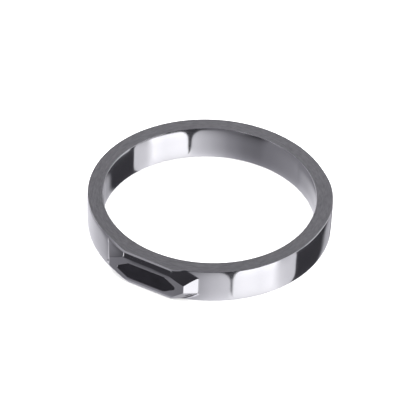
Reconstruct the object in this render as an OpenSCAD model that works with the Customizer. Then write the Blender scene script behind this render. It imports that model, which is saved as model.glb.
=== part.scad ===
// Hexagon ring: a plain flat band with a flat, faceted, elongated-hexagon head
// and a black hexagon plate let into it.
// The ring lies on its side: its axis is Z, its middle height is z = 0,
// and the head faces -Y.

/* [Band] */
// Inner diameter, which is the finger's size
inner_d = 18.2; // [15:0.1:22]
// Thickness of the metal from the inner wall to the outer wall
wall_t = 1.35; // [1.2:0.05:1.8]
// Width of the band along the finger
band_w = 3.1; // [2.9:0.05:4]
// Flat broken on each edge of the band
edge_break = 0.08; // [0.02:0.01:0.12]

/* [Head] */
// How far the head's table stands out past the round outer wall
table_rise = 0.25; // [0.2:0.01:0.4]
// Length of the table from tip to tip
table_l = 7.2; // [6.8:0.05:7.6]
// Height of the table between its two long edges
table_w = 2.4; // [2.2:0.02:2.7]
// Length of each long edge of the table
table_edge_l = 4.4; // [4:0.05:4.8]
// Height of the blunt edge at each tip of the table
table_tip_w = 0.74; // [0.5:0.02:1]
// How far each side face of the band cuts back behind the table
side_setback = 0.18; // [0.1:0.01:0.4]
// Slope of the four corner facets, measured from the table
corner_tilt = 46; // [42:0.5:56]
// Slope of the two end facets, measured from the table
end_tilt = 57.3; // [54:0.1:62]

/* [Inlay] */
// Length of the recess from tip to tip
recess_l = 5.56; // [5:0.02:5.8]
// Height of the recess between its two long edges
recess_w = 1.54; // [1.2:0.02:1.7]
// Length of each long edge of the recess
recess_edge_l = 3.5; // [3:0.05:3.8]
// Height of the blunt edge at each tip of the recess
recess_tip_w = 0.28; // [0.1:0.02:0.4]
// Depth of the recess below the table
recess_d = 0.5; // [0.3:0.05:0.7]
// Gap between the plate and the walls and floor of its recess
inlay_gap = 0.02; // [0.01:0.01:0.05]

/* [Hidden] */
$fn = 180;
outer_r = inner_d / 2 + wall_t;
half_w = band_w / 2;
table_y = -(outer_r + table_rise);
// Slope of the long side facets, which run from the table to the band's faces
side_tilt = atan2(side_setback, (band_w - table_w) / 2);
// Turn of a slanted table edge in the plane of the table
corner_turn = atan2(table_w - table_tip_w, table_l - table_edge_l);
// Size of the blocks that cut the facets, longer than the whole ring
cut_l = 3 * outer_r;
// The head's block reaches inward past the inner wall, where the bore trims it
head_back_y = -(inner_d / 2 - 1);
head_l = 2 * table_l;
// Overlap that keeps a cut clear of a face that it passes through
over = 1;

// Elongated hexagon with blunt tips, centred, long side along X
module blunt_hexagon(l, w, edge_l, tip_w) {
    polygon([
        [-l / 2, -tip_w / 2], [-edge_l / 2, -w / 2], [edge_l / 2, -w / 2], [l / 2, -tip_w / 2],
        [l / 2, tip_w / 2], [edge_l / 2, w / 2], [-edge_l / 2, w / 2], [-l / 2, tip_w / 2]
    ]);
}

// Block that lies outside one facet. The facet starts at an edge of the table
// through (x, z); turn swings that edge in the table's plane, tilt leans it back.
module facet_cut(x, z, turn, tilt) {
    translate([x, table_y, z])
        rotate([0, turn, 0])
            rotate([-tilt, 0, 0])
                translate([-cut_l / 2, -cut_l, -cut_l / 2])
                    cube([cut_l, cut_l, cut_l]);
}

// Round body of the band before it is bored, with its outer edges broken
module round_body() {
    rotate_extrude()
        polygon([
            [0, -half_w], [outer_r - edge_break, -half_w], [outer_r, -half_w + edge_break],
            [outer_r, half_w - edge_break], [outer_r - edge_break, half_w], [0, half_w]
        ]);
}

// Head: a block cut by the long side facets, the corner facets and the end facets
module head() {
    difference() {
        translate([-head_l / 2, table_y, -half_w])
            cube([head_l, head_back_y - table_y, band_w]);
        for (up = [0, 1])
            mirror([0, 0, up]) {
                facet_cut(0, table_w / 2, 0, side_tilt);
                for (side = [0, 1])
                    mirror([side, 0, 0])
                        facet_cut(table_edge_l / 2, table_w / 2, corner_turn, corner_tilt);
            }
        for (side = [0, 1])
            mirror([side, 0, 0])
                facet_cut(table_l / 2, 0, 90, end_tilt);
    }
}

// Finger hole, with its two edges broken
module bore() {
    cylinder(h = band_w + 2 * over, d = inner_d, center = true);
    for (up = [0, 1])
        mirror([0, 0, up])
            translate([0, 0, half_w - edge_break])
                cylinder(h = 2 * edge_break, r1 = inner_d / 2, r2 = inner_d / 2 + 2 * edge_break);
}

// Recess in the table, open towards -Y
module recess() {
    translate([0, table_y + recess_d, 0])
        rotate([90, 0, 0])
            linear_extrude(height = recess_d + over)
                blunt_hexagon(recess_l, recess_w, recess_edge_l, recess_tip_w);
}

// Band and head, cast and polished as one piece of silver
module band() {
    color([0.72, 0.72, 0.74])
        difference() {
            union() {
                round_body();
                head();
            }
            bore();
            recess();
        }
}

// Black plate that fills the recess flush with the table
module inlay() {
    color([0.05, 0.05, 0.06])
        translate([0, table_y + recess_d - inlay_gap, 0])
            rotate([90, 0, 0])
                linear_extrude(height = recess_d - inlay_gap)
                    blunt_hexagon(
                        recess_l - 2 * inlay_gap, recess_w - 2 * inlay_gap,
                        recess_edge_l - inlay_gap, recess_tip_w - inlay_gap);
}

band();
inlay();
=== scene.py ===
"""Hexagon ring: the looks of a silver band with a faceted head and a black plate.

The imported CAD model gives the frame. Every length below is in millimetres in the frame of the part:
the ring's axis is Z, the middle of its width is z = 0, and its head faces -Y. A turn is an angle
round the axis in radians, from -Y towards +X, and a height is a place along the axis. Meshes are
written in metres at the very end.
"""

import logging
from dataclasses import dataclass, field
from enum import Enum, IntEnum, auto
from math import cos, log10, pi, radians, sin, tan
from typing import Callable, Sequence

import bpy
import numpy as np
from mathutils import Matrix, Vector
from mathutils.geometry import delaunay_2d_cdt


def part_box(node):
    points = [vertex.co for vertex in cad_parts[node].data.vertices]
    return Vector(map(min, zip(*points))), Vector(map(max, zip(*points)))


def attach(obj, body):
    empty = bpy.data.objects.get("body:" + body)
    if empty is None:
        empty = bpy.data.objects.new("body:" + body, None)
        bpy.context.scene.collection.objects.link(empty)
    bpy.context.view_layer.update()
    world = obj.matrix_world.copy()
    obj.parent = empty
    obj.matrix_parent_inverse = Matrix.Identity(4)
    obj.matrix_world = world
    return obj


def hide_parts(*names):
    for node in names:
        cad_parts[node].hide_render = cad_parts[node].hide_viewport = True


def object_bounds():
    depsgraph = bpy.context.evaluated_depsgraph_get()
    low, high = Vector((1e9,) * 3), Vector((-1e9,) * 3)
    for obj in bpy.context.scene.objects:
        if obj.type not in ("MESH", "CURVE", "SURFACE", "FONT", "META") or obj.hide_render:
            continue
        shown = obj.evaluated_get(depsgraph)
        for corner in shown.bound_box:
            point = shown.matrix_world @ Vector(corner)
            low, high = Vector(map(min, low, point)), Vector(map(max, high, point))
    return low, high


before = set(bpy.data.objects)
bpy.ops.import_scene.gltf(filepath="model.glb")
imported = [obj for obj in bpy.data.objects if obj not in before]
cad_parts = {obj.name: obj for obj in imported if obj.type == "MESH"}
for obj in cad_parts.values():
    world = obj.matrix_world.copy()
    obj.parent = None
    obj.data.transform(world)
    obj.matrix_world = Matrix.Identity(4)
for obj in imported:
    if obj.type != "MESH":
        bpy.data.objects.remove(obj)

CAD_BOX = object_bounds()
MM = 0.001
LOG = logging.getLogger("hexagon_ring")

Array = np.ndarray
Number = float | Array
Socket = bpy.types.NodeSocket
Value = float | Socket
Tree = bpy.types.NodeTree
Material = bpy.types.Material
Object = bpy.types.Object
Triple = tuple[float, float, float]
Pair = tuple[float, float]

# Distance that stands for a surface of the head that is never met
FAR = 1000.0
# A surface of the head is never met where the way out from the axis closes in on it by less than this
GRAZING = 0.05
# Points closer than this are one point of a mesh
WELD = 1e-4
# Precision of the triangulation of the wall
TRIANGLE_PRECISION = 1e-6
# Steps of the numeric slopes: a turn and a length
TURN_STEP = 2e-4
LENGTH_STEP = 2e-3
# Leans of the normal over a rounded rim
QUARTER = np.linspace(0.0, pi / 2, 5)
# Name of the point attribute that marks rounded edges
WORN = "worn"
# Room that a node takes up in its tree, and how many of them stand in a column
NODE_WIDTH, NODE_HEIGHT, NODE_ROWS = 220.0, 180.0, 6
# Strokes of the polishing cloth: how each set of them is turned, and how far its noise is drawn out
STROKES = (((0.4, 0.28, 0.7), 0.035), ((1.5, 1.05, 1.8), 0.05), ((2.6, 1.82, 2.9), 0.03))
# Ranges of a noise from which its thin peaks, its clouds and its rubbed patches are made
PEAKS, CLOUDS, PATCHES = (0.6, 0.72), (0.3, 0.7), (0.35, 0.65)
# What the least worn patches keep of the mark on rounded edges
LEAST_WORN = 0.4
# How cool a grey light of one level is, what a tenfold rise of the level takes from that, and what
# a wholly cool light loses of its green and gains in blue
COOL_LEVEL, COOL_SHARE, COOL_LOSS = 0.03, 0.9, 0.42
COOL_GREEN, COOL_BLUE = 0.03, 0.17


class Skin(IntEnum):
    """Surfaces of the band, each with a finish of its own."""

    POLISHED = 0
    SATIN = 1


class Slot(Enum):
    """Names of the materials, silver and black enamel."""

    SILVER = "silver"
    BLACK_ENAMEL = "black_enamel"


class Part(Enum):
    """Parts of the band's cross section between the two edges of its outer wall."""

    OUTER_EDGE = auto()
    FACE = auto()
    INNER_EDGE = auto()
    BORE = auto()


# Small helpers for forms


def soft_min(a: Array, b: Number, width: Number) -> Array:
    """Takes the lower of two heights, and rounds the crease over that difference of height."""
    share = np.clip(width - np.abs(a - b), 0.0, None) / width
    return np.minimum(a, b) - share * share * width / 4


def soft_max(a: Array, b: Number, width: Number) -> Array:
    """Takes the higher of two heights, and fills the corner over that difference of height."""
    return -soft_min(-a, -b, width)


def smooth_step(low: float, high: float, value: Array) -> Array:
    """Goes smoothly from 0 at low to 1 at high, whichever of them is greater."""
    share = np.clip((value - low) / (high - low), 0.0, 1.0)
    return share * share * (3.0 - 2.0 * share)


def unit(vectors: Array) -> Array:
    """Scales each row of an array to length 1."""
    return vectors / np.linalg.norm(vectors, axis=-1, keepdims=True)


def beside(ahead: Array) -> Array:
    """Gives the unit vectors to the right of flat ways ahead, one to a row."""
    way = unit(ahead)
    return np.stack([way[:, 1], -way[:, 0]], axis=1)


def around(turn: Array, radius: Number, height: Number) -> Array:
    """Places points by turn, radius and height, one to a row."""
    flat = np.broadcast_arrays(radius * np.sin(turn), -radius * np.cos(turn), height)
    return np.stack(flat, axis=-1)


def standing(flat: Array, y: float) -> Array:
    """Stands rows of x and z up at one y."""
    return np.stack([flat[:, 0], np.full(len(flat), y), flat[:, 1]], axis=1)


def slope_of(curve: Callable[[float], Number], height: float) -> Number:
    """Gives the slope of a curve over the height."""
    return (curve(height + LENGTH_STEP) - curve(height - LENGTH_STEP)) / (2 * LENGTH_STEP)


def pairs(first: Sequence[float], second: Sequence[float]) -> Array:
    """Lists every pair of a number of the first row and one of the second."""
    return np.stack(np.meshgrid(first, second, indexing="ij"), axis=-1).reshape(-1, 2)


def bend(start: Number, middle: Number, end: Number, share: float) -> tuple[Number, Number]:
    """Gives the place and the way ahead on a rounding, whose two sides would meet in the middle."""
    place = (1 - share) ** 2 * start + 2 * share * (1 - share) * middle + share**2 * end
    return place, 2 * (1 - share) * (middle - start) + 2 * share * (end - middle)


def inside(points: Array, outline: Array, margin: float = 0.0) -> Array:
    """Tells which points lie inside a convex outline that turns left.

    Args:
        points: Rows of two numbers.
        outline: Corners of the outline.
        margin: How far outside still counts as inside.

    Returns:
        True for each point that is inside.
    """
    outward = beside(np.roll(outline, -1, axis=0) - outline)
    reach = np.einsum("pki,ki->pk", points[:, None, :] - outline[None], outward)
    return (reach < margin).all(axis=1)


def new_object(name: str, data: bpy.types.ID) -> Object:
    """Makes an object and links it to the scene.

    Args:
        name: Name of the object.
        data: Its mesh or camera.

    Returns:
        The new object.
    """
    made = bpy.data.objects.new(name, data)
    bpy.context.collection.objects.link(made)
    return made


@dataclass
class MeshDraft:
    """A mesh in the making, whose points each carry their exact normal."""

    points: list[tuple[float, ...]] = field(default_factory=list)
    normals: list[tuple[float, ...]] = field(default_factory=list)
    worn: list[float] = field(default_factory=list)
    faces: list[tuple[int, ...]] = field(default_factory=list)
    skins: list[int] = field(default_factory=list)
    places: dict[tuple[int, ...], int] = field(default_factory=dict)

    def add_points(self, points: Array, normals: Array, worn: Number) -> Array:
        """Adds points, and finds again those that are already there.

        Args:
            points: Places in millimetres, one to a row.
            normals: Their outward normals.
            worn: How rounded the surface is at each of them, from 0 to 1.

        Returns:
            The index of each point.
        """
        keys = np.rint(points / WELD).astype(np.int64).tolist()
        indexes = []
        for key, point, normal, mark in zip(keys, points, normals, np.broadcast_to(worn, len(points))):
            if tuple(key) not in self.places:
                self.places[tuple(key)] = len(self.points)
                self.points.append(tuple(point))
                self.normals.append(tuple(normal))
                self.worn.append(float(mark))
            indexes.append(self.places[tuple(key)])
        return np.array(indexes)

    def add_face(self, corners: Sequence[int], skin: Skin) -> None:
        """Adds one face, unless welding has left it fewer than three corners.

        Args:
            corners: Indexes of its points in order.
            skin: Finish that it gets.
        """
        kept = [int(c) for k, c in enumerate(corners) if c != corners[k - 1]]
        if len(kept) > 2:
            self.faces.append(tuple(kept))
            self.skins.append(int(skin))

    def add_strip(self, first: Array, second: Array, skin: Skin, closed: bool = False) -> None:
        """Joins two rows of points with quads, and their last points with their first where closed."""
        for k in range(0 if closed else 1, len(first)):
            self.add_face((first[k - 1], first[k], second[k], second[k - 1]), skin)

    def add_loops(self, loops: Sequence[Array]) -> None:
        """Joins closed rows of points, and fills the last of them.

        Args:
            loops: Indexes of each row.
        """
        for before, after in zip(loops, loops[1:]):
            self.add_strip(before, after, Skin.POLISHED, closed=True)
        self.add_face(loops[-1], Skin.POLISHED)

    def build(self, name: str, materials: Sequence[Material]) -> Object:
        """Writes the mesh in metres, each face turned to agree with its points' normals.

        Args:
            name: Name of the object and its mesh.
            materials: Materials in the order of the skins.

        Returns:
            The new object.
        """
        points, normals = np.array(self.points), unit(np.array(self.normals))
        turned = []
        for corners in self.faces:
            a, b, c = points[list(corners[:3])]
            facing = np.cross(b - a, c - a) @ normals[list(corners)].sum(axis=0)
            turned.append(corners if facing >= 0 else corners[::-1])
        mesh = bpy.data.meshes.new(name)
        mesh.from_pydata((points * MM).tolist(), [], turned)
        for material in materials:
            mesh.materials.append(material)
        mesh.polygons.foreach_set("material_index", self.skins)
        mesh.polygons.foreach_set("use_smooth", [True] * len(turned))
        mesh.attributes.new(WORN, "FLOAT", "POINT").data.foreach_set("value", self.worn)
        mesh.update()
        mesh.normals_split_custom_set_from_vertices(normals.tolist())
        return new_object(name, mesh)


@dataclass(frozen=True)
class BluntHexagon:
    """Elongated hexagon with blunt tips, in the plane of the table."""

    length: float
    width: float
    edge_length: float
    tip_width: float
    # How far each corner is rounded and in how many points, and the step along the sides
    corner: float = 0.07
    corner_points: int = 7
    step: float = 0.05
    # Height of the middle
    middle: float = -0.1

    def corners(self) -> Array:
        """Gives the eight corners, turning left, as rows of x and z.

        Returns:
            The corners.
        """
        right = np.array([
            (self.edge_length, -self.width), (self.length, -self.tip_width),
            (self.length, self.tip_width), (self.edge_length, self.width)]) / 2
        return np.concatenate([right, -right]) + np.array([0.0, self.middle])

    def outline(self) -> tuple[Array, Array]:
        """Walks round the hexagon with its corners a little rounded.

        Returns:
            Points of the closed outline as rows of x and z, and their outward normals.
        """
        hexagon = self.corners()
        points, ahead = [], []
        for before, here, after in zip(np.roll(hexagon, 1, axis=0), hexagon, np.roll(hexagon, -1, axis=0)):
            coming, going = unit(here - before), unit(after - here)
            start, end = here - coming * self.corner, here + going * self.corner
            for share in np.linspace(0.0, 1.0, self.corner_points):
                place, way = bend(start, here, end, share)
                points.append(place)
                ahead.append(way)
            side = after - going * self.corner - end
            count = max(1, round(float(np.linalg.norm(side)) / self.step))
            for share in np.arange(1, count) / count:
                points.append(end + side * share)
                ahead.append(going)
        return np.array(points), beside(np.array(ahead))


# Node trees


class Graph:
    """Short hand for adding and linking the nodes of one tree."""

    def __init__(self, tree: Tree) -> None:
        """Takes the tree that the nodes go into."""
        self.tree = tree

    def feed(self, socket: Socket, value: object) -> None:
        """Links a socket into another one, or sets a plain value on it.

        Args:
            socket: Input that is fed.
            value: Output socket, number or tuple, which for a colour leaves out its alpha.
        """
        if isinstance(value, Socket):
            self.tree.links.new(value, socket)
        else:
            socket.default_value = (*value, 1.0) if socket.type == "RGBA" else value

    def node(self, kind: str, feeds: dict | None = None, **settings: object) -> bpy.types.Node:
        """Adds a node.

        Args:
            kind: Blender's name of the node's type.
            feeds: Sockets or plain values for its inputs, by place or name.
            settings: Values for the node's own properties.

        Returns:
            The new node.
        """
        column, row = divmod(len(self.tree.nodes), NODE_ROWS)
        node = self.tree.nodes.new(kind)
        node.location = (NODE_WIDTH * column, -NODE_HEIGHT * row)
        for name, value in settings.items():
            setattr(node, name, value)
        for key, value in (feeds or {}).items():
            self.feed(node.inputs[key], value)
        return node

    def group(self, tree: Tree, **feeds: object) -> bpy.types.Node:
        """Places a shared group, with sockets or plain values for its inputs."""
        return self.node("ShaderNodeGroup", feeds, node_tree=tree)

    def math(self, operation: str, *values: Value, clamp: bool = False) -> Socket:
        """Adds a Math node, and gives its result."""
        feeds = dict(enumerate(values))
        return self.node("ShaderNodeMath", feeds, operation=operation, use_clamp=clamp).outputs[0]

    def diagonal(self, a: Socket, b: Socket) -> Socket:
        """Gives the diagonal over two sides."""
        return self.math("SQRT", self.math("ADD", self.math("MULTIPLY", a, a), self.math("MULTIPLY", b, b)))

    def split(self, vector: Socket) -> tuple[Socket, ...]:
        """Splits a vector into its three numbers."""
        return tuple(self.node("ShaderNodeSeparateXYZ", {0: vector}).outputs)

    def towards(self, vector: Socket, azimuth: float) -> Socket:
        """Measures a vector towards a level azimuth in degrees."""
        feeds = {0: vector, 1: (cos(radians(azimuth)), sin(radians(azimuth)), 0.0)}
        return self.node("ShaderNodeVectorMath", feeds, operation="DOT_PRODUCT").outputs["Value"]

    def noise(self, vector: Socket, scale: Value, detail: float, roughness: float = 0.5) -> Socket:
        """Adds a Noise Texture node, and gives its value from 0 to 1."""
        feeds = {"Vector": vector, "Scale": scale, "Detail": detail, "Roughness": roughness}
        return self.node("ShaderNodeTexNoise", feeds).outputs[0]

    def rise(self, value: Socket, low: Value, high: Value, start: float = 0.0, end: float = 1.0) -> Socket:
        """Maps a value smoothly from one range to another, and stops at the ends."""
        feeds = dict(enumerate((value, low, high, start, end)))
        return self.node("ShaderNodeMapRange", feeds, interpolation_type="SMOOTHSTEP").outputs[0]

    def blend(self, share: Value, first: object, second: object) -> Socket:
        """Mixes two colours, by how much of the second one shows."""
        return self.node("ShaderNodeMix", {0: share, 6: first, 7: second}, data_type="RGBA").outputs[2]

    def ramp(self, degrees: Socket, span: float, stops: Sequence[tuple[float, Triple]]) -> Socket:
        """Adds a colour ramp over an angle.

        Args:
            degrees: The angle, which is 0 in the middle of the ramp.
            span: Degrees from one end of the ramp to the other.
            stops: Angles and colours, in order.

        Returns:
            The ramp's colour.
        """
        node = self.node("ShaderNodeValToRGB", {0: self.math("MULTIPLY_ADD", degrees, 1.0 / span, 0.5)})
        elements = node.color_ramp.elements
        while len(elements) < len(stops):
            elements.new(1.0)
        for element, (angle, colour) in zip(elements, stops):
            element.position = angle / span + 0.5
            element.color = (*colour, 1.0)
        return node.outputs[0]


class GroupGraph(Graph):
    """The nodes of a shader node group, which puts out plain values alone."""

    def __init__(self, name: str, inputs: dict[str, float | None], outputs: Sequence[str]) -> None:
        """Makes the group and its sockets.

        Args:
            name: Name of the group.
            inputs: Names of its inputs with their usual values, or None for a vector.
            outputs: Names of its outputs.
        """
        super().__init__(bpy.data.node_groups.new(name, "ShaderNodeTree"))
        sockets = self.tree.interface
        for label, usual in inputs.items():
            if usual is None:
                sockets.new_socket(name=label, in_out="INPUT", socket_type="NodeSocketVector")
            else:
                socket = sockets.new_socket(name=label, in_out="INPUT", socket_type="NodeSocketFloat")
                socket.default_value = usual
        for label in outputs:
            sockets.new_socket(name=label, in_out="OUTPUT", socket_type="NodeSocketFloat")
        self.given = self.node("NodeGroupInput").outputs
        self.out = self.node("NodeGroupOutput").inputs


def turned_grain_group() -> Tree:
    """Makes the group for fine lines that run round the ring's axis, as a turning tool leaves them.

    Returns:
        A group that puts out a height from 0 to 1.
    """
    graph = GroupGraph("Turned grain", {"Position": None, "Lines": 8000.0, "Run": 16.0}, ["Height"])
    x, y, z = graph.split(graph.given["Position"])
    radius = graph.diagonal(x, y)
    # The lines are close together outward and upward, and long the way round
    spot = graph.node("ShaderNodeCombineXYZ", {
        0: graph.math("MULTIPLY", graph.math("DIVIDE", x, radius), graph.given["Run"]),
        1: graph.math("MULTIPLY", graph.math("DIVIDE", y, radius), graph.given["Run"]),
        2: graph.math("MULTIPLY", graph.math("ADD", radius, z), graph.given["Lines"]),
    })
    graph.feed(graph.out["Height"], graph.noise(spot.outputs[0], 1.0, detail=3.0, roughness=0.6))
    return graph.tree


def hand_polish_group() -> Tree:
    """Makes the group for the faint hairlines and cloudy patches of a polished surface.

    Returns:
        A group that puts out hairlines and clouds, each from 0 to 1.
    """
    inputs = {"Position": None, "Hairlines": 2200.0, "Clouds": 320.0}
    graph = GroupGraph("Hand polish", inputs, ["Hairlines", "Clouds"])
    place = graph.given["Position"]
    total: Value = 0.0
    for turn, stretch in STROKES:
        feeds = {"Vector": place, "Rotation": turn, "Scale": (stretch, 1.0, 1.0)}
        stroke = graph.node("ShaderNodeMapping", feeds).outputs[0]
        noise = graph.noise(stroke, graph.given["Hairlines"], detail=2.0)
        total = graph.math("MAXIMUM", total, graph.rise(noise, *PEAKS))
    graph.feed(graph.out["Hairlines"], total)
    cloud = graph.noise(place, graph.given["Clouds"], detail=4.0)
    graph.feed(graph.out["Clouds"], graph.rise(cloud, *CLOUDS))
    return graph.tree


def edge_wear_group() -> Tree:
    """Makes the group that breaks up the mark on rounded edges, so they look rubbed by wear.

    Returns:
        A group that puts out a mask from 0 to 1.
    """
    graph = GroupGraph("Edge wear", {"Position": None, "Mark": 0.0, "Scale": 2600.0}, ["Mask"])
    noise = graph.noise(graph.given["Position"], graph.given["Scale"], detail=3.0)
    patch = graph.rise(noise, *PATCHES, start=LEAST_WORN)
    graph.feed(graph.out["Mask"], graph.math("MULTIPLY", patch, graph.given["Mark"], clamp=True))
    return graph.tree


@dataclass(frozen=True)
class Effects:
    """The shared effects, each a node group that is made once."""

    grain: Tree
    polish: Tree
    wear: Tree

    @classmethod
    def make(cls) -> "Effects":
        """Makes every group."""
        return cls(turned_grain_group(), hand_polish_group(), edge_wear_group())


class MaterialGraph(Graph):
    """The nodes of a material with a Principled shader."""

    def __init__(self, name: str) -> None:
        """Starts the material of that name.

        Args:
            name: Name of the material.
        """
        self.material = bpy.data.materials.new(name)
        self.material.use_nodes = True
        self.material.node_tree.nodes.clear()
        super().__init__(self.material.node_tree)
        self.shader = self.node("ShaderNodeBsdfPrincipled")
        self.node("ShaderNodeOutputMaterial", {"Surface": self.shader.outputs[0]})
        self.place = self.node("ShaderNodeTexCoord").outputs["Object"]

    def effect(self, tree: Tree, **feeds: object) -> bpy.types.NodeOutputs:
        """Places a shared effect on the object, and gives its outputs."""
        return self.group(tree, Position=self.place, **feeds).outputs

    def rubbed(self, effects: Effects) -> Socket:
        """Gives the mask of the edges that wear has rubbed."""
        mark = self.node("ShaderNodeAttribute", attribute_name=WORN).outputs["Fac"]
        return self.effect(effects.wear, Mark=mark)["Mask"]

    def dress(self, feeds: dict[str, object], relief: Value | None = None) -> Material:
        """Feeds the shader.

        Args:
            feeds: Sockets or plain values for its inputs, by name.
            relief: Height of the surface in millimetres, if it has any.

        Returns:
            The finished material.
        """
        for name, value in feeds.items():
            self.feed(self.shader.inputs[name], value)
        if relief is not None:
            bump = self.node("ShaderNodeBump", {"Strength": 1.0, "Distance": MM, "Height": relief})
            self.feed(self.shader.inputs["Normal"], bump.outputs[0])
        return self.material


@dataclass(frozen=True)
class SilverFinish:
    """A finish of the silver, polished or satin."""

    name: str
    bright: Triple
    dull: Triple
    roughness: float
    roughness_spread: float
    # Depth of the grain, how much of the colour follows it and the painted light, and depth of the
    # hairlines
    grain_depth: float
    grain_and_painted_light_tone: float
    scratch_depth: float
    # Painted light: how much lighter the colour is painted at this distance in metres towards the back of
    # the ring,
    # standing in for the studio light that falls on the side face there
    painted_back_light: float = 0.08
    painted_light_reach: float = 0.010

    def material(self, effects: Effects) -> Material:
        """Builds the material.

        Args:
            effects: The shared node groups.

        Returns:
            The finished material.
        """
        graph = MaterialGraph(self.name)
        polish, grain = graph.effect(effects.polish), graph.effect(effects.grain)["Height"]
        clouds, hairlines = polish["Clouds"], polish["Hairlines"]
        # Painted light: the tone is painted lighter towards the back of the ring (+Y), standing in for the
        # studio light on the satin side face there
        far = graph.split(graph.place)[1]
        grain_with_painted_light = graph.math("MULTIPLY_ADD", far, -self.painted_back_light / self.painted_light_reach, grain)
        lined_with_painted_light = graph.math("MULTIPLY", grain_with_painted_light, self.grain_and_painted_light_tone)
        tone = graph.math("MULTIPLY_ADD", clouds, 1.0 - self.grain_and_painted_light_tone, lined_with_painted_light, clamp=True)
        colour = graph.blend(tone, self.bright, self.dull)
        roughness = graph.math("MULTIPLY_ADD", clouds, self.roughness_spread, self.roughness)
        lines = graph.math("MULTIPLY", grain, self.grain_depth)
        feeds = {
            "Base Color": graph.blend(graph.rubbed(effects), colour, self.bright),
            "Metallic": 1.0,
            "Roughness": graph.math("MULTIPLY_ADD", hairlines, self.roughness_spread, roughness),
        }
        return graph.dress(feeds, graph.math("MULTIPLY_ADD", hairlines, -self.scratch_depth, lines))


POLISHED_SILVER = SilverFinish(
    name="polished_silver",
    bright=(0.95, 0.95, 0.955),
    dull=(0.90, 0.90, 0.91),
    roughness=0.065,
    roughness_spread=0.02,
    grain_depth=0.0,
    grain_and_painted_light_tone=0.0,
    scratch_depth=0.00005,
)
SATIN_SILVER = SilverFinish(
    name="satin_silver",
    bright=(0.90, 0.90, 0.895),
    dull=(0.40, 0.40, 0.40),
    roughness=0.34,
    roughness_spread=0.04,
    grain_depth=0.0016,
    grain_and_painted_light_tone=1.0,
    scratch_depth=0.0,
)


@dataclass(frozen=True)
class EnamelFinish:
    """The dense black of the plate, with a soft sheen."""

    name: str
    deep: Triple
    faint: Triple
    roughness: float
    roughness_spread: float
    # Scale of the clouds in its colour and its sheen, and depth of their relief
    clouds: float
    orange_peel: float

    def material(self, effects: Effects) -> Material:
        """Builds the material.

        Args:
            effects: The shared node groups.

        Returns:
            The finished material.
        """
        graph = MaterialGraph(self.name)
        clouds = graph.effect(effects.polish, Clouds=self.clouds)["Clouds"]
        colour = graph.blend(clouds, self.deep, self.faint)
        feeds = {
            "Base Color": graph.blend(graph.rubbed(effects), colour, self.faint),
            "Roughness": graph.math("MULTIPLY_ADD", clouds, self.roughness_spread, self.roughness),
        }
        return graph.dress(feeds, graph.math("MULTIPLY", clouds, self.orange_peel))


BLACK_ENAMEL = EnamelFinish(
    name="black_enamel",
    deep=(0.0030, 0.0027, 0.0046),
    faint=(0.0060, 0.0055, 0.0086),
    roughness=0.30,
    roughness_spread=0.06,
    clouds=900.0,
    orange_peel=0.0006,
)


# The ring


@dataclass(frozen=True)
class HeadPlane:
    """One flat of the head, where along * x + -y + up * z stays under a limit.

    A twist adds twist * x * z, which turns the flat a little from one end to the other. A bow lets
    the flat fall away to both sides of one place along X.
    """

    along: float
    up: float
    limit: float
    twist: float = 0.0
    bow: float = 0.0
    bow_x: float = 0.0

    def radius(self, turn: Array, height: Array) -> Array:
        """Gives the distance from the ring's axis to the flat.

        Args:
            turn: Turns of the points.
            height: Their heights.

        Returns:
            Distances, which are very large where the flat is never met.
        """
        reach = (self.along + self.twist * height) * np.sin(turn) + np.cos(turn)
        room = self.limit - self.up * height
        distance = np.where(reach > GRAZING, room / np.maximum(reach, GRAZING), FAR)
        return distance - self.bow * (distance * np.sin(turn) - self.bow_x) ** 2


@dataclass(frozen=True)
class WindingFacet:
    """A facet that leans back ever more along its edge on the table, towards the table's end."""

    table_out: float
    # 1 for the right end of the head and -1 for the left end
    side: int
    # Where the edge starts and ends, outward from the middle of the table and up
    start: Pair
    end: Pair
    # Slope gained over each millimetre of the edge, and how far before its start the gain begins
    gain: float
    lead: float
    # How far the facet keeps above the table where it has no slope yet
    clear: float = 0.0

    def radius(self, turn: Array, height: Array) -> Array:
        """Gives the distance from the ring's axis to the facet.

        Args:
            turn: Turns of the points.
            height: Their heights.

        Returns:
            Distances, which are very large where the facet is never met.
        """
        (start_x, start_z), (run_x, run_z) = self.start, unit(np.subtract(self.end, self.start))
        sine, lift = self.side * np.sin(turn), height - start_z
        # How far a point lies along the edge and across it, each as a slope over its distance and a rest
        along, along_rest = run_x * sine, run_z * lift - run_x * start_x + self.lead
        across, across_rest = -run_z * sine, run_x * lift + run_z * start_x
        line = np.cos(turn) + self.gain * (along * across_rest + across * along_rest)
        rest = self.table_out + self.clear - self.gain * along_rest * across_rest
        root = np.sqrt(np.maximum(line * line + 4 * self.gain * along * across * rest, 0.0))
        distance = 2 * rest / np.maximum(line + root, GRAZING)
        return np.where((along * distance + along_rest > 0) & (sine > 0), distance, FAR)


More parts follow.
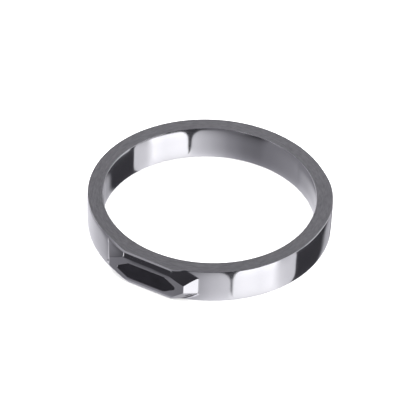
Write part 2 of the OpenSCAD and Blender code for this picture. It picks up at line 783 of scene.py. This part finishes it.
@dataclass
class Band:
    """The silver band and its faceted head, one closed body."""

    outer_r: float
    half_w: float
    table_out: float
    inner_r: float = 9.1
    table_half_l: float = 3.6
    # The upper long edge of the table and how far the side flat drops behind it, at both its ends
    side_x: float = 2.3
    side_left: float = 1.20
    side_right: float = 1.09
    setback_left: float = 0.225
    setback_right: float = 0.12
    # The lower long edge
    side_low: float = -1.22
    setback_low: float = 0.21
    # The lower corner flats: slopes along X and along Z, and how low they meet the table's tip
    lower_left: Triple = (0.566, 0.955, 0.36)
    lower_right: Triple = (0.846, 1.013, 0.32)
    # The upper corner facets: start and end of their edge on the table, their gain and their lead
    upper_left: tuple[Pair, Pair, float, float] = ((2.21, 1.20), (3.54, 0.55), 0.208, 3.0)
    upper_right: tuple[Pair, Pair, float, float] = ((1.85, 1.10), (3.6, 0.43), 0.735, 0.068)
    end_slope: float = tan(radians(57.3))
    # Part of the turn round the axis that the head can take up
    head_turn: float = radians(38.0)
    # Rounded edges: how much of the wall and of the face each takes
    outer_edge: float = 0.04
    inner_edge: float = 0.036
    # Rounding of the creases between the flats
    crease: float = 0.04
    crisp_crease: float = 0.02
    low_crease: float = 0.06
    # The upper edge of the head is broken by hand from this height on
    chamfer_z: float = 1.475
    chamfer_slope: float = 1.3
    chamfer_crease: float = 0.02
    # The lower corner flats bow a little round this place
    corner_bow: float = 0.03
    corner_middle: float = 3.2
    # The table falls away past the recess, but in its upper half only from this stretch along X on
    crown_w: float = 0.085
    crown_half_w: float = 0.8
    crown_l: float = 0.05
    crown_half_l: float = 2.7
    crown_start: Pair = (-2.3, -1.0)
    # Rounding where an end flat runs into the round wall, where a corner flat does and in the
    # valley low on the right. The last two begin over these degrees and heights
    end_run: float = 0.05
    corner_run: float = 0.14
    corner_turn: Pair = (12.2, 14.2)
    corner_height: Pair = (0.85, 1.15)
    valley_run: float = 0.22
    valley_turn: Pair = (9.0, 19.0)
    valley_height: Pair = (-0.5, -1.4)
    # Polishing leaves both walls a little domed towards their edges
    dome_tilt: float = radians(3.1)
    bore_tilt: float = radians(4.0)
    dome_power: float = 4.0
    # Places where the hand-finished wall is thicker or thinner: turn and reach in degrees, then the
    # change at the upper edge and at the lower edge, which is full over a share of the reach
    uneven: tuple[tuple[float, ...], ...] = ((118.0, 26.0, 0.12, 0.03), (-46.0, 26.0, 0.0, -0.10))
    uneven_full: float = 1 / 3
    # The recess, its rounded rim, the tight corner round its floor, and how clear of its rim the
    # points of the wall keep
    recess: BluntHexagon = BluntHexagon(5.56, 1.54, 3.5, 0.28)
    recess_depth: float = 0.5
    recess_rim: float = 0.03
    recess_foot: float = 0.01
    recess_clear: float = 0.03
    # Wear of the recess's rim, and the bend in radians over this reach that counts as a worn crease
    rim_worn: float = 0.5
    worn_bend: float = 0.25
    worn_reach: float = 0.02
    # Cells round the wall and up it, which are halved at most this often, wherever the wall bends
    # by more than this angle within one
    columns: int = 240
    rows: int = 10
    levels: int = 4
    split_angle: float = radians(5.0)
    # Rows over each rounded edge and over the bore, and the places of those over a side face
    edge_rows: int = 6
    bore_rows: int = 15
    face_rows: tuple[float, ...] = (0.03, 0.35, 0.65, 0.97)

    @classmethod
    def from_frame(cls) -> "Band":
        """Takes the outer sizes from the CAD node."""
        low, high = (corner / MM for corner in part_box("band"))
        return cls(outer_r=high.x, half_w=high.z, table_out=-low.y)

    def side_plane(self) -> HeadPlane:
        """Gives the upper side flat, which runs from the table's long edge to the band's face.

        Returns:
            The flat.
        """
        left = np.array([self.side_left, self.setback_left / (self.half_w - self.side_left)])
        right = np.array([self.side_right, self.setback_right / (self.half_w - self.side_right)])
        edge, slope = (left + right) / 2
        tilt, change = (right - left) / (2 * self.side_x)
        return HeadPlane(-(slope * tilt + change * edge), slope, self.table_out + slope * edge, change)

    def lower_corner(self, corner: Triple, side: int) -> HeadPlane:
        """Gives one of the lower corner flats.

        Args:
            corner: Its slopes along X and along Z, and how low it meets the table's tip.
            side: 1 for the right end and -1 for the left end.

        Returns:
            The flat.
        """
        along, rise, tip = corner
        limit = self.table_out + along * self.table_half_l + rise * tip
        return HeadPlane(side * along, -rise, limit, bow=self.corner_bow, bow_x=side * self.corner_middle)

    def table_radius(self, turn: Array, height: Array) -> Array:
        """Gives the radius of the table, which falls away a little past the recess.

        Args:
            turn: Turns of the points.
            height: Their heights.

        Returns:
            Distances from the ring's axis.
        """
        past_side = np.maximum(np.abs(height - self.recess.middle) - self.crown_half_w, 0.0)
        along = self.table_out * np.tan(turn)
        past_end = np.maximum(np.abs(along) - self.crown_half_l, 0.0)
        share = np.where(height > 0, smooth_step(*self.crown_start, along), 1.0)
        fall = self.crown_w * share * past_side**2 + self.crown_l * past_end**2
        return (self.table_out - fall) / np.cos(turn)

    def head_radius(self, turn: Array, height: Array) -> Array:
        """Gives the radius of the head's flats, their creases a little rounded.

        Args:
            turn: Turns of the points.
            height: Their heights.

        Returns:
            Distances from the ring's axis.
        """
        low_slope = self.setback_low / (self.half_w + self.side_low)
        end_limit = self.table_out + self.end_slope * self.table_half_l
        head = np.full_like(turn, FAR)
        for radius, crease in (
            (HeadPlane(self.end_slope, 0.0, end_limit).radius, self.crease),
            (self.lower_corner(self.lower_right, 1).radius, self.low_crease),
            (self.table_radius, self.crease),
            (HeadPlane(-self.end_slope, 0.0, end_limit).radius, self.crease),
            (self.side_plane().radius, self.crease),
            (HeadPlane(0.0, -low_slope, self.table_out - low_slope * self.side_low).radius, self.crease),
            (self.lower_corner(self.lower_left, -1).radius, self.crease),
            (WindingFacet(self.table_out, -1, *self.upper_left).radius, self.crisp_crease),
            (WindingFacet(self.table_out, 1, *self.upper_right, clear=self.crease).radius, self.crease),
        ):
            head = soft_min(head, radius(turn, height), crease)
        return head - self.chamfer_slope * soft_max(height - self.chamfer_z, 0.0, self.chamfer_crease)

    def fall(self, height: Array, tilt: float) -> Array:
        """Tells how far a domed wall falls back that leans by the tilt at its edges."""
        rise = tan(tilt) * self.half_w / self.dome_power
        return rise * (np.abs(height) / self.half_w) ** self.dome_power

    def bore_radius(self, height: float) -> float:
        """Gives the radius of the inner wall."""
        return self.inner_r + self.fall(height, self.bore_tilt)

    def wall_radius(self, turn: Array, height: Array) -> Array:
        """Gives the radius of the outer wall, with the head on it.

        Args:
            turn: Turns of the points.
            height: Their heights.

        Returns:
            Distances from the ring's axis.
        """
        head = np.where(np.abs(turn) < self.head_turn, self.head_radius(turn, height), 0.0)
        turned = np.degrees(turn)
        past_chord = smooth_step(*self.corner_turn, np.abs(turned))
        off_middle = smooth_step(*self.corner_height, np.abs(height))
        run = self.end_run + (self.corner_run - self.end_run) * past_chord * off_middle
        below = smooth_step(*self.valley_height, height) * smooth_step(*self.valley_turn, turned)
        run = run + (self.valley_run - run) * below
        wall = self.outer_r - self.fall(height, self.dome_tilt)
        share = np.clip(0.5 + 0.5 * height / self.half_w, 0.0, 1.0)
        for middle, reach, at_top, at_foot in self.uneven:
            near = smooth_step(reach, reach * self.uneven_full, np.abs(turned - middle))
            wall = wall + near * (at_foot + (at_top - at_foot) * share)
        return soft_max(head, wall, run)

    def wall_points(self, turn: Array, height: Array) -> Array:
        """Places points on the outer wall."""
        return around(turn, self.wall_radius(turn, height), height)

    def wall_normals(self, turn: Array, height: Array) -> Array:
        """Gives the outer wall's normals from its slopes.

        Args:
            turn: Turns of the points.
            height: Their heights.

        Returns:
            Unit vectors.
        """
        ahead = self.wall_points(turn + TURN_STEP, height) - self.wall_points(turn - TURN_STEP, height)
        above = self.wall_points(turn, height + LENGTH_STEP) - self.wall_points(turn, height - LENGTH_STEP)
        return unit(np.cross(ahead, above))

    def wall_worn(self, turn: Array, height: Array) -> Array:
        """Marks the creases of the head by how fast the normal turns there.

        Args:
            turn: Turns of the points.
            height: Their heights.

        Returns:
            Marks from 0 to 1.
        """
        here = self.wall_normals(turn, height)
        aside = self.wall_normals(turn + self.worn_reach / self.outer_r, height) - here
        above = self.wall_normals(turn, height + self.worn_reach) - here
        bent = np.maximum(np.linalg.norm(aside, axis=-1), np.linalg.norm(above, axis=-1))
        return np.clip(bent / self.worn_bend, 0.0, 1.0)

    def wall_grid(self) -> Array:
        """Spreads points over the unrolled outer wall, closer together where it bends.

        Returns:
            Rows of an arc length and a height.
        """
        edge = self.half_w - self.outer_edge
        size = np.array([2 * pi * self.outer_r / self.columns, 2 * edge / self.rows])
        cells = pairs(range(self.columns), range(self.rows)).astype(float)
        # Corners, middles of the sides and centre of a cell, its centre in the middle of the list
        probes, corners = pairs((0.0, 0.5, 1.0), (0.0, 0.5, 1.0)), pairs((0.0, 1.0), (0.0, 1.0))
        centre, scale = len(probes) // 2, 1.0
        found = []
        for level in range(self.levels + 1):
            spots = cells[:, None, :] + probes[None] * scale
            turn = spots[..., 0] * size[0] / self.outer_r - pi
            normals = self.wall_normals(turn, spots[..., 1] * size[1] - edge)
            agree = (normals * normals[:, centre:centre + 1]).sum(axis=-1)
            spread = np.arccos(np.clip(agree, -1.0, 1.0)).max(axis=1)
            split = (spread > self.split_angle) & (level < self.levels)
            found.append((cells[~split][:, None, :] + corners[None] * scale).reshape(-1, 2))
            scale /= 2
            cells = (cells[split][:, None, :] + corners[None] * scale).reshape(-1, 2)
        finest = 2**self.levels
        steps = np.rint(np.concatenate(found) * finest).astype(np.int64)
        # Both edges of the wall get the same points along them, so that one set of turns fits both
        ends = (0, self.rows * finest)
        along = np.unique(steps[np.isin(steps[:, 1], ends), 0])
        steps = np.unique(np.concatenate([steps, pairs(along, ends)]), axis=0)
        return steps * size / finest - np.array([pi * self.outer_r, edge])

    def add_wall(self, draft: MeshDraft) -> Array:
        """Adds the outer wall with the hole of the recess.

        Args:
            draft: The mesh that it goes into.

        Returns:
            The turns of the points along the wall's upper edge, in order.
        """
        flat, outward = self.recess.outline()
        rim = flat + outward * self.recess_rim
        loop = np.stack([np.arctan2(rim[:, 0], self.table_out) * self.outer_r, rim[:, 1]], axis=1)
        grid = self.wall_grid()
        turn = grid[:, 0] / self.outer_r
        ahead = np.abs(turn) < self.head_turn
        on_table = np.stack([self.table_out * np.tan(np.where(ahead, turn, 0.0)), grid[:, 1]], axis=1)
        grid = grid[~(ahead & inside(on_table, rim, self.recess_clear))]
        spots, start, count = np.concatenate([grid, loop]), len(grid), len(loop)
        edges = [(start + k, start + (k + 1) % count) for k in range(count)]
        vectors = [Vector(spot) for spot in spots.tolist()]
        found, _, faces, origins, _, _ = delaunay_2d_cdt(vectors, edges, [], 0, TRIANGLE_PRECISION)
        exact = np.array([spots[same[0]] if same else tuple(place) for place, same in zip(found, origins)])
        turn, height = exact[:, 0] / self.outer_r, exact[:, 1]
        normals = self.wall_normals(turn, height)
        indexes = draft.add_points(self.wall_points(turn, height), normals, self.wall_worn(turn, height))
        hole = inside(np.array([exact[list(face)].mean(axis=0) for face in faces]), loop)
        for face, gone in zip(faces, hole):
            if not gone:
                draft.add_face(indexes[list(face)], Skin.POLISHED)
        upper = np.abs(grid[:, 1] - (self.half_w - self.outer_edge)) < WELD
        return np.sort(grid[upper, 0]) / self.outer_r

    def profile(self, part: Part, share: float, side: int, turn: Array) -> tuple[Number, ...]:
        """Gives a place on the cross section, past the edge of the outer wall.

        Args:
            part: Part of the cross section.
            share: How far inward on that part from 0 to 1, or the height on the bore.
            side: 1 for the upper half and -1 for the lower half.
            turn: Turns of the points.

        Returns:
            Radius, height, and the way ahead in both.
        """
        if part is Part.BORE:
            radius, inward = self.bore_radius(share), -slope_of(self.bore_radius, share)
            height, upward = share, -1.0
        elif part is Part.INNER_EDGE:
            start, edge = self.bore_radius(self.half_w) + self.inner_edge, self.half_w - self.inner_edge
            foot, slope = self.bore_radius(edge), slope_of(self.bore_radius, edge)
            radius, inward = bend(start, foot + slope * self.inner_edge, foot, share)
            height, upward = bend(self.half_w, self.half_w, edge, share)
        elif part is Part.FACE:
            outer = self.profile(Part.OUTER_EDGE, 1.0, side, turn)[0]
            inner = self.bore_radius(self.half_w) + self.inner_edge
            radius, inward = outer + (inner - outer) * share, -1.0
            height, upward = self.half_w, 0.0
        else:
            edge = self.half_w - self.outer_edge
            start = self.wall_radius(turn, side * edge)
            slope = slope_of(lambda at: self.wall_radius(turn, side * at), edge)
            middle = start + slope * self.outer_edge
            radius, inward = bend(start, middle, middle - self.outer_edge, share)
            height, upward = bend(edge, self.half_w, self.half_w, share)
        return radius, side * height, side * inward, upward

    def rows_round(self) -> list[tuple[Part, float, int]]:
        """Lists the rows from the wall's upper edge over the bore to its lower edge.

        Returns:
            Part, share and side of each row.
        """
        shares = np.linspace(0.0, 1.0, self.edge_rows)
        over = ((Part.OUTER_EDGE, shares), (Part.FACE, self.face_rows), (Part.INNER_EDGE, shares))
        upper = [(part, share, 1) for part, places in over for share in places]
        edge = self.half_w - self.inner_edge
        bore = [(Part.BORE, height, 1) for height in np.linspace(edge, -edge, self.bore_rows)[1:-1]]
        return upper + bore + [(part, share, -1) for part, share, _ in reversed(upper)]

    def add_round(self, draft: MeshDraft, turns: Array) -> None:
        """Adds the rounded edges, the side faces and the bore.

        Args:
            draft: The mesh that they go into.
            turns: The turns of the wall's edge points.
        """
        rows = []
        for part, share, side in self.rows_round():
            radius, height, inward, upward = self.profile(part, share, side, turns)
            behind, ahead = (
                around(turn, *self.profile(part, share, side, turn)[:2])
                for turn in (turns - TURN_STEP, turns + TURN_STEP))
            normals = unit(np.cross(ahead - behind, around(turns, inward, upward)))
            worn = 1.0 if part in (Part.OUTER_EDGE, Part.INNER_EDGE) else 0.0
            rows.append((part, draft.add_points(around(turns, radius, height), normals, worn)))
        for (part, before), (next_part, after) in zip(rows, rows[1:]):
            draft.add_strip(before, after, Skin.SATIN if Part.FACE in (part, next_part) else Skin.POLISHED)

    def add_recess(self, draft: MeshDraft) -> None:
        """Adds the rounded rim, the walls and the floor of the recess.

        Args:
            draft: The mesh that they go into.
        """
        flat, outward = self.recess.outline()
        rim, foot = flat + outward * self.recess_rim, self.recess_foot
        place = np.arctan2(rim[:, 0], self.table_out), rim[:, 1]
        loops = [draft.add_points(self.wall_points(*place), self.wall_normals(*place), self.rim_worn)]
        # Each row's distance outward in the table's plane, its depth, and the lean of its normal
        rows = [
            (self.recess_rim * (1 - sin(lean)), self.recess_rim * (1 - cos(lean)), lean)
            for lean in QUARTER[1:]]
        rows += [(0.0, self.recess_depth - foot, pi / 2), (-foot, self.recess_depth, 0.0)]
        for shift, depth, lean in rows:
            points = standing(flat + outward * shift, depth - self.table_out)
            normals = standing(-sin(lean) * outward, -cos(lean))
            loops.append(draft.add_points(points, normals, self.rim_worn * cos(lean)))
        draft.add_loops(loops)

    def build(self, polished: Material, satin: Material) -> Object:
        """Builds the band and puts it in the place of its CAD node.

        Args:
            polished: Material of the walls and flats.
            satin: Material of the two side faces.

        Returns:
            The band.
        """
        draft = MeshDraft()
        turns = self.add_wall(draft)
        self.add_round(draft, turns)
        self.add_recess(draft)
        band = draft.build("band_silver", [polished, satin])
        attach(band, "root")
        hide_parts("band")
        LOG.info("band: %d points, %d faces", len(band.data.vertices), len(band.data.polygons))
        return band


@dataclass
class InlayPlate:
    """The black plate that fills the recess."""

    table_out: float
    length: float
    width: float
    depth: float
    edge_length: float = 3.48
    tip_width: float = 0.26
    rim: float = 0.025

    @classmethod
    def from_frame(cls) -> "InlayPlate":
        """Takes the plate's length, height and depth from the CAD node."""
        low, high = (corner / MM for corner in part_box("inlay"))
        return cls(table_out=-low.y, length=high.x - low.x, width=high.z - low.z, depth=high.y - low.y)

    def build(self, enamel: Material) -> Object:
        """Builds the plate and puts it in the place of its CAD node.

        Args:
            enamel: Its material.

        Returns:
            The plate.
        """
        draft = MeshDraft()
        flat, outward = BluntHexagon(self.length, self.width, self.edge_length, self.tip_width).outline()
        loops = []
        for side, face, leans in ((-1, 0.0, QUARTER), (1, self.depth, QUARTER[::-1])):
            for lean in leans:
                depth = face - side * self.rim * (1 - cos(lean))
                points = standing(flat - outward * self.rim * (1 - sin(lean)), depth - self.table_out)
                normals = standing(sin(lean) * outward, side * cos(lean))
                loops.append(draft.add_points(points, normals, sin(lean)))
        draft.add_loops(loops)
        draft.add_face(loops[0], Skin.POLISHED)
        plate = draft.build("inlay_black", [enamel])
        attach(plate, "root")
        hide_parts("inlay")
        LOG.info("inlay: %d points, %d faces", len(plate.data.vertices), len(plate.data.polygons))
        return plate


# The studio


@dataclass(frozen=True)
class Card:
    """A card of the studio, in degrees round the ring and above its level.

    A card without a level of its own takes the level that the studio has at that azimuth.
    """

    left: float
    right: float
    low: float
    high: float
    corner: float
    soft: float
    slant: float = 0.0
    level: float | None = None


def studio_card_group() -> Tree:
    """Makes the group for a card with rounded corners and soft edges.

    Returns:
        A group that puts out a mask from 0 to 1.
    """
    names = ("Round", "Above", "Left", "Right", "Low", "High", "Corner", "Soft", "Slant")
    graph = GroupGraph("Studio card", dict.fromkeys(names, 0.0), ["Mask"])
    given = graph.given
    off: Value = 0.0
    over = []
    # The second pass adds the slant, which shifts the card by how high a point lies on it
    for place, start, end in (("Above", "Low", "High"), ("Round", "Left", "Right")):
        middle = graph.math("MULTIPLY", graph.math("ADD", given[start], given[end]), 0.5)
        half = graph.math("MULTIPLY", graph.math("SUBTRACT", given[end], given[start]), 0.5)
        off = graph.math("MULTIPLY_ADD", off, given["Slant"], graph.math("SUBTRACT", given[place], middle))
        past = graph.math("SUBTRACT", graph.math("ABSOLUTE", off), half)
        over.append(graph.math("ADD", past, given["Corner"]))
    far = graph.diagonal(*(graph.math("MAXIMUM", side, 0.0) for side in over))
    near = graph.math("MINIMUM", graph.math("MAXIMUM", *over), 0.0)
    distance = graph.math("SUBTRACT", graph.math("ADD", far, near), given["Corner"])
    inner = graph.math("MULTIPLY", given["Soft"], -1.0)
    graph.feed(graph.out["Mask"], graph.rise(distance, inner, given["Soft"], 1.0, 0.0))
    return graph.tree


def grey(level: float) -> Triple:
    """Gives a grey light, the cooler the darker it is."""
    cool = COOL_SHARE - COOL_LOSS * log10(level / COOL_LEVEL)
    return level, level * (1.0 - COOL_GREEN * cool), level * (1.0 + COOL_BLUE * cool)


@dataclass
class Studio:
    """Floor, light and camera."""

    floor_height: float
    # The camera looks from this azimuth and elevation, both in degrees, with this roll
    azimuth: float = 28.45
    elevation: float = 38.93
    roll: float = 2.30
    distance: float = 627.0
    lens: float = 635.2
    sensor: float = 36.0
    # Nearest and farthest distance that it sees, in metres
    sight: Pair = (0.05, 5.0)
    # Where the ring's middle lies off the picture's middle, in millimetres on the ring
    aim_right: float = 0.09
    aim_down: float = 0.08
    # The floor's side, its two tones of pale grey, the scale of their clouds and its roughness
    floor_size: float = 600.0
    floor_tones: tuple[Triple, Triple] = ((0.80, 0.80, 0.80), (0.82, 0.82, 0.82))
    floor_clouds: float = 40.0
    floor_roughness: float = 0.9
    # The floor lies this little below the ring, so the two faces never share a plane
    floor_drop: float = 0.02
    # Azimuth of the part's frame from which the studio's azimuths are counted
    studio_zero: float = 288.5
    plain_light: float = 3.2
    cards: tuple[Card, ...] = (
        # Pale table far below
        Card(-200.0, 200.0, -110.0, -57.0, 5.0, 4.0, 0.0, 0.36),
        Card(0.0, 100.0, -110.0, -66.0, 4.0, 2.0, 0.0, 0.08),
        # Faint glow over the sweep, in front
        Card(-27.0, 16.0, -60.0, -20.0, 5.0, 9.0, 0.0, 0.13),
        # Grey sweep round the left and the back
        Card(-190.0, 41.0, -60.0, -33.1, 6.0, 0.5, 1.15),
        # White key on the right
        Card(34.4, 103.6, -46.5, -33.0, 10.0, 0.5),
        # Soft light past the black panel
        Card(115.0, 190.0, -80.0, -33.5, 6.0, 8.0, -2.0),
        # Shade over the far end of the sweep
        Card(-164.0, -98.0, -38.4, -24.0, 3.0, 1.2, 0.0, 0.2),
        # Window high in front
        Card(-38.0, -17.0, 28.0, 66.0, 8.0, 3.0, 0.0, 0.75),
        # Tall lights above the level of the sweep
        Card(57.0, 98.0, -29.0, 28.0, 6.0, 2.0, 0.0, 0.85),
        Card(102.0, 142.0, -34.2, 42.0, 6.0, 1.0, 0.0, 0.95),
        Card(-150.0, -116.0, -20.0, 50.0, 8.0, 4.0, 0.0, 0.9),
        # Strip light over the head's upper edge
        Card(-165.0, -64.0, 46.0, 71.0, 5.0, 2.0, 0.0, 0.31),
        # Small lights that pick out the creases at the head's upper left corner
        Card(-92.0, -51.0, -24.0, 6.0, 6.0, 4.0, 0.0, 0.085),
        Card(-104.0, -50.0, -38.9, -25.0, 4.0, 9.0, 0.0, 0.19),
        Card(-63.0, -49.0, 4.0, 24.0, 3.0, 1.0, 0.0, 0.9),
    )
    # Levels along the sweep and the key: degrees and light
    levels: tuple[Pair, ...] = (
        (-180.0, 0.20), (-174.0, 0.20), (-169.0, 0.90), (-154.0, 0.75), (-138.0, 0.62), (-122.0, 0.455),
        (-104.0, 0.38), (-84.0, 0.26), (-56.0, 0.170), (-46.0, 0.148), (-38.0, 0.145), (-26.0, 0.165),
        (-8.0, 0.255), (14.0, 0.48), (31.0, 0.63), (35.0, 1.0), (48.0, 1.04), (62.0, 1.0), (75.0, 1.08),
        (80.0, 0.84), (84.0, 0.68), (90.0, 0.62), (104.0, 0.60), (160.0, 0.38), (169.0, 0.48),
        (176.0, 0.30), (180.0, 0.20),
    )
    # Change of those levels with each degree down from the height that the upright walls show
    leans: tuple[Pair, ...] = (
        (-180.0, 0.0), (-150.0, 0.03), (-100.0, 0.07), (-30.0, 0.10), (0.0, 0.07), (31.0, 0.04),
        (34.0, -0.03), (76.0, -0.03), (82.0, 0.05), (100.0, 0.0), (150.0, 0.12), (180.0, 0.10),
    )
    lean_zero: float = -39.0
    # The least that such a change leaves of a level
    lean_least: float = 0.4
    # Levels from the nadir up to the zenith: degrees and light
    rise: tuple[Pair, ...] = (
        (-90.0, 0.10), (-60.0, 0.07), (-46.0, 0.075), (-42.5, 0.055), (-40.0, 0.034), (-38.0, 0.036),
        (-36.0, 0.048), (-30.0, 0.034), (-10.0, 0.034), (12.0, 0.034), (66.0, 0.028), (74.0, 0.20),
        (90.0, 0.22),
    )
    # Wall behind the object, whose light the ring's side face shows: its azimuth and light, how
    # squarely a way faces it, and the degrees over which it starts above the sweep and ends high up
    back_azimuth: float = 118.5
    back_level: float = 0.213
    back_facing: Pair = (-0.42, 0.28)
    back_foot: Pair = (-25.0, 5.0)
    back_top: Pair = (66.0, 60.0)

    def add_floor(self) -> Object:
        """Adds the plain pale floor, which polished metal doesn't mirror.

        Returns:
            The floor.
        """
        half = self.floor_size * MM / 2
        height = (self.floor_height - self.floor_drop) * MM
        mesh = bpy.data.meshes.new("floor")
        corners = ((-half, -half), (half, -half), (half, half), (-half, half))
        mesh.from_pydata([(x, y, height) for x, y in corners], [], [range(4)])
        floor = new_object("floor", mesh)
        graph = MaterialGraph("pale_floor")
        colour = graph.blend(graph.noise(graph.place, self.floor_clouds, detail=2.0), *self.floor_tones)
        feeds = {"Base Color": colour, "Roughness": self.floor_roughness, "Specular IOR Level": 0.0}
        mesh.materials.append(graph.dress(feeds))
        floor.visible_glossy = False
        return floor

    def add_world(self) -> bpy.types.World:
        """Adds the studio's light: plain for the floor, with dark and pale cards for the polished metal.

        Returns:
            The world.
        """
        world = bpy.data.worlds.new("studio")
        world.use_nodes = True
        world.node_tree.nodes.clear()
        graph = Graph(world.node_tree)
        way = graph.node("ShaderNodeTexCoord").outputs["Generated"]
        ahead, aside = graph.towards(way, self.studio_zero), graph.towards(way, self.studio_zero + 90.0)
        turned = graph.math("DEGREES", graph.math("ARCTAN2", aside, ahead))
        raised = graph.math("DEGREES", graph.math("ARCSINE", graph.split(way)[2]))
        # Light of the sweep and the key. A ramp holds no value below 0, so the leans are raised by 0.5
        sweep = graph.ramp(turned, 360.0, [(angle, grey(level)) for angle, level in self.levels])
        leans = graph.ramp(turned, 360.0, [(angle, (0.5 + lean,) * 3) for angle, lean in self.leans])
        down = graph.math("SUBTRACT", self.lean_zero, raised)
        change = graph.math("MULTIPLY_ADD", graph.math("SUBTRACT", leans, 0.5), down, 1.0)
        feeds = {0: sweep, "Scale": graph.math("MAXIMUM", change, self.lean_least)}
        sweep = graph.node("ShaderNodeVectorMath", feeds, operation="SCALE").outputs["Vector"]
        # Light of the walls, and of the part of them behind the object
        walls = graph.ramp(raised, 180.0, [(angle, grey(level)) for angle, level in self.rise])
        back = graph.rise(graph.towards(way, self.back_azimuth), *self.back_facing)
        for span in (self.back_foot, self.back_top):
            back = graph.math("MULTIPLY", back, graph.rise(raised, *span))
        light = graph.blend(back, walls, grey(self.back_level))
        group = studio_card_group()
        for card in self.cards:
            mask = graph.group(
                group, Round=turned, Above=raised, Left=card.left, Right=card.right, Low=card.low,
                High=card.high, Corner=card.corner, Soft=card.soft, Slant=card.slant).outputs["Mask"]
            light = graph.blend(mask, light, sweep if card.level is None else grey(card.level))
        mirrored = graph.node("ShaderNodeBackground", {"Color": light})
        plain = graph.node("ShaderNodeBackground", {"Color": (1.0, 1.0, 1.0), "Strength": self.plain_light})
        glossy = graph.node("ShaderNodeLightPath").outputs["Is Glossy Ray"]
        mix = graph.node("ShaderNodeMixShader", {0: glossy, 1: plain.outputs[0], 2: mirrored.outputs[0]})
        graph.node("ShaderNodeOutputWorld", {"Surface": mix.outputs[0]})
        world.cycles.sampling_method = "NONE"
        bpy.context.scene.world = world
        return world

    def add_camera(self) -> Object:
        """Adds the camera at the photograph's viewing angle.

        Returns:
            The camera.
        """
        turn, tip, roll = (radians(angle) for angle in (self.azimuth, self.elevation, self.roll))
        back = Vector((sin(turn) * cos(tip), -cos(turn) * cos(tip), sin(tip)))
        level = Vector((cos(turn), sin(turn), 0.0))
        upright = back.cross(level)
        right = cos(roll) * level + sin(roll) * upright
        up = cos(roll) * upright - sin(roll) * level
        target = (up * self.aim_down - right * self.aim_right) * MM
        data = bpy.data.cameras.new("camera")
        data.lens, data.sensor_width = self.lens, self.sensor
        data.clip_start, data.clip_end = self.sight
        camera = new_object("camera", data)
        rotation = Matrix((right, up, back)).transposed().to_4x4()
        camera.matrix_world = Matrix.Translation(target + back * self.distance * MM) @ rotation
        bpy.context.scene.camera = camera
        return camera

    def build(self) -> None:
        """Sets up the whole studio."""
        self.add_floor()
        self.add_world()
        self.add_camera()
        bpy.context.scene.view_settings.view_transform = "Standard"
        LOG.info("studio: floor, light and camera")


def main() -> None:
    """Builds the ring and the studio, and reports each piece."""
    logging.basicConfig(level=logging.INFO, format="%(name)s: %(message)s")
    effects = Effects.make()
    Studio(floor_height=CAD_BOX[0].z / MM).build()
    Band.from_frame().build(POLISHED_SILVER.material(effects), SATIN_SILVER.material(effects))
    InlayPlate.from_frame().build(BLACK_ENAMEL.material(effects))


if __name__ == "__main__":
    main()
